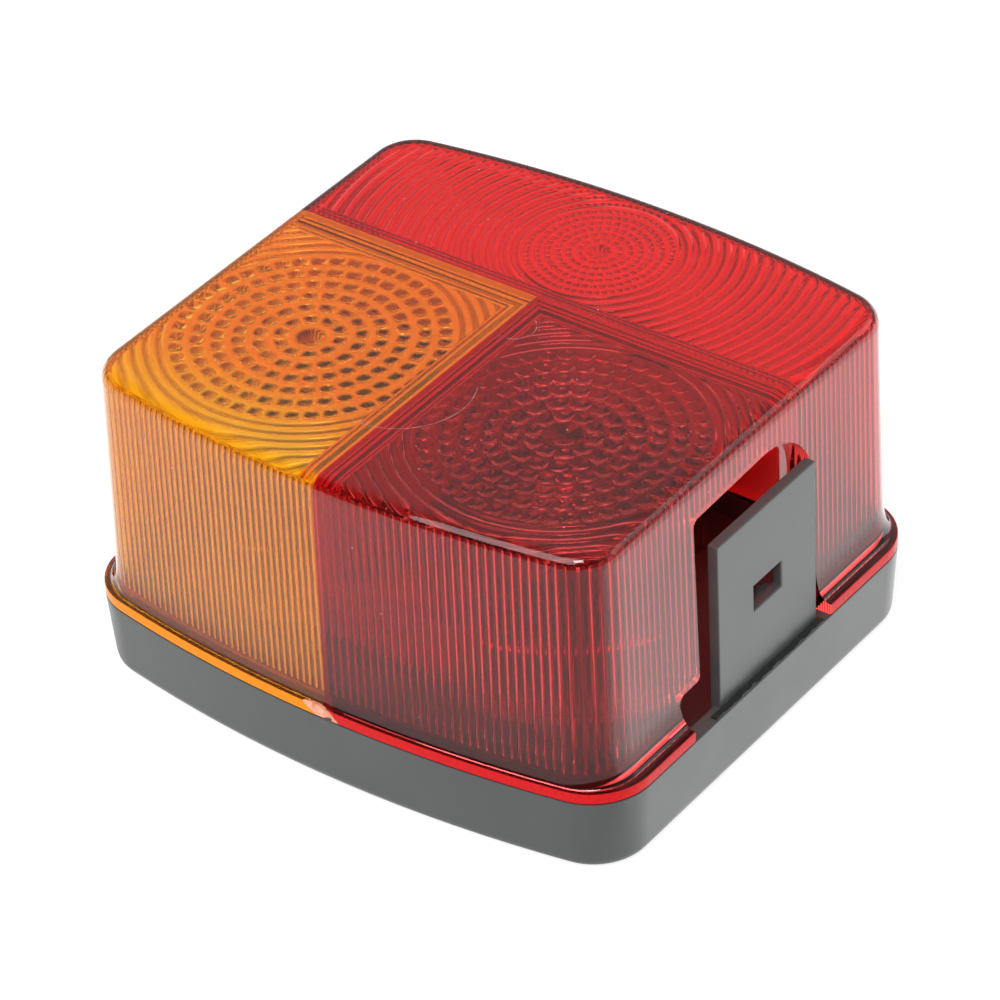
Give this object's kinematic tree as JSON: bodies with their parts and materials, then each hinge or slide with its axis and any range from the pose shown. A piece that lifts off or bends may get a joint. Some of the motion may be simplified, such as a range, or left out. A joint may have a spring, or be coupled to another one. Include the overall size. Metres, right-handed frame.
{
  "type": "tail light cluster",
  "caption": "Vehicle tail light with an amber and red fluted lens on a black base tray, bayonet bulbs inside and a slotted plate in its side window.",
  "frame": {"origin": "middle of the back of the base tray", "axes": "+Z out through the lens, +X towards the side with the window and its upright plate, +Y towards the full-length red chamber"},
  "size_m": [0.108, 0.0992, 0.06],
  "materials": {
    "base_plastic": "satin black moulded plastic",
    "lens_amber": "clear amber moulded plastic, glossy outside and fluted inside",
    "lens_red": "clear red moulded plastic, glossy outside and fluted inside",
    "seal_rubber": "matt",
    "plated_steel": "bright plated sheet",
    "rivet_metal": "satin",
    "grommet_rubber": "matt",
    "holder_steel": "bright plated tube",
    "contact_brass": "sheared strip",
    "cap_brass": "bright drawn shell",
    "bulb_glass": "clear blown glass",
    "filament_wire": "drawn wire"
  },
  "bodies": {
    "root": {"base_tray": "base_plastic", "lens_amber": "lens_amber", "lens_red": "lens_red", "lens_seal": "seal_rubber", "earth_plate": "plated_steel", "plate_rivets": "rivet_metal", "contact_rivets": "rivet_metal", "cable_grommet": "grommet_rubber", "holder_indicator": "holder_steel", "contact_indicator": "contact_brass", "bulb_cap_indicator": "cap_brass", "bulb_glass_indicator": "bulb_glass", "filament_indicator": "filament_wire", "holder_tail": "holder_steel", "contact_tail": "contact_brass", "bulb_cap_tail": "cap_brass", "bulb_glass_tail": "bulb_glass", "filament_tail": "filament_wire", "holder_stop": "holder_steel", "contact_stop": "contact_brass", "bulb_cap_stop": "cap_brass", "bulb_glass_stop": "bulb_glass", "filament_stop": "filament_wire"}
  },
  "joints": []
}
